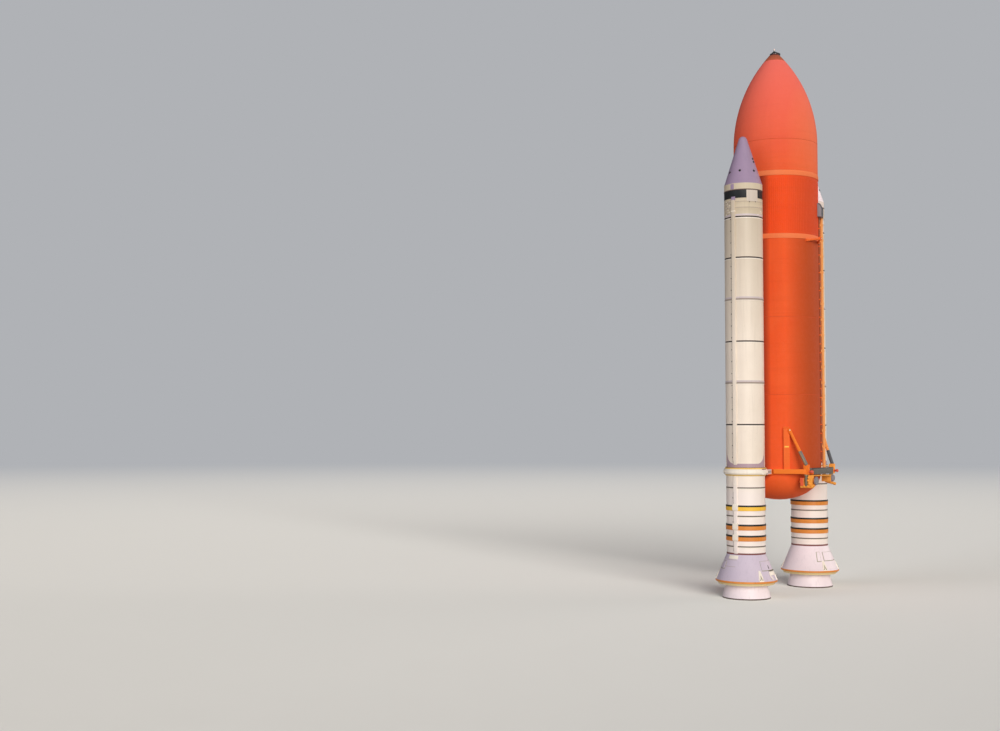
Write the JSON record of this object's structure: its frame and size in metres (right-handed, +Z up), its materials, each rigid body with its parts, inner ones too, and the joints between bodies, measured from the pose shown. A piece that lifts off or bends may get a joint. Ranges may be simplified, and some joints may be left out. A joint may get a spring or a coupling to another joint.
{
  "type": "half-scale space rocket stack",
  "caption": "Pointed orange propellant tank flanked by white solid boosters that stand on their nozzles, with struts for a winged craft; half scale.",
  "frame": {"origin": "middle of the bounding box's bottom face, on the floor that the booster nozzles stand on", "axes": "+X from the left booster to the right booster, -Y towards the winged craft's side, +Z up along the tank"},
  "size_m": [9.312, 4.862, 27.74],
  "materials": {
    "tank_foam": "sprayed foam, matte, warm orange",
    "pale_foam": "smooth trimmed foam, matte, paler orange",
    "strut_foam": "smooth foam and paint, matte, bright orange",
    "feedline_foam": "moulded foam, satin, yellow orange",
    "white_paint": "satin, weathered cream white",
    "cream_paint": "satin, cream",
    "orange_paint": "satin orange",
    "grey_paint": "satin, mid grey",
    "dark_metal": "satin, dark grey",
    "lamp_glass": "gloss, pale red lamp globe"
  },
  "bodies": {
    "root": {"aft_dome": "tank_foam", "aft_fitting_left": "orange_paint", "aft_fitting_right": "orange_paint", "bipod_spindle": "orange_paint", "bipod_strut_left": "strut_foam", "bipod_strut_right": "strut_foam", "crossbeam": "grey_paint", "feedline": "feedline_foam", "feedline_fairing": "grey_paint", "hydrogen_tank": "tank_foam", "intertank": "tank_foam", "left_booster_aft_skirt": "white_paint", "left_booster_attach_ring": "white_paint", "left_booster_forward_mount": "pale_foam", "left_booster_forward_skirt": "white_paint", "left_booster_front_strut": "cream_paint", "left_booster_lower_tunnel": "cream_paint", "left_booster_motor_aft": "white_paint", "left_booster_motor_aft_centre": "white_paint", "left_booster_motor_forward": "white_paint", "left_booster_motor_forward_centre": "white_paint", "left_booster_nose_cone": "white_paint", "left_booster_nozzle": "white_paint", "left_booster_rear_strut": "cream_paint", "left_booster_stiffener_ring_1": "orange_paint", "left_booster_stiffener_ring_2": "orange_paint", "left_booster_stiffener_ring_3": "orange_paint", "left_booster_upper_tunnel": "cream_paint", "longeron_left": "strut_foam", "longeron_right": "strut_foam", "lower_flange_band": "pale_foam", "nose_cap": "dark_metal", "nose_lamp": "lamp_glass", "oxygen_tank": "tank_foam", "right_booster_aft_skirt": "white_paint", "right_booster_attach_ring": "white_paint", "right_booster_forward_mount": "pale_foam", "right_booster_forward_skirt": "white_paint", "right_booster_front_strut": "cream_paint", "right_booster_lower_tunnel": "cream_paint", "right_booster_motor_aft": "white_paint", "right_booster_motor_aft_centre": "white_paint", "right_booster_motor_forward": "white_paint", "right_booster_motor_forward_centre": "white_paint", "right_booster_nose_cone": "white_paint", "right_booster_nozzle": "white_paint", "right_booster_rear_strut": "cream_paint", "right_booster_stiffener_ring_1": "orange_paint", "right_booster_stiffener_ring_2": "orange_paint", "right_booster_stiffener_ring_3": "orange_paint", "right_booster_upper_tunnel": "cream_paint", "side_strut_left": "strut_foam", "side_strut_right": "strut_foam", "thrust_strut_left": "strut_foam", "thrust_strut_right": "strut_foam", "umbilical_left": "feedline_foam", "umbilical_right": "feedline_foam", "upper_flange_band": "pale_foam"}
  },
  "joints": []
}
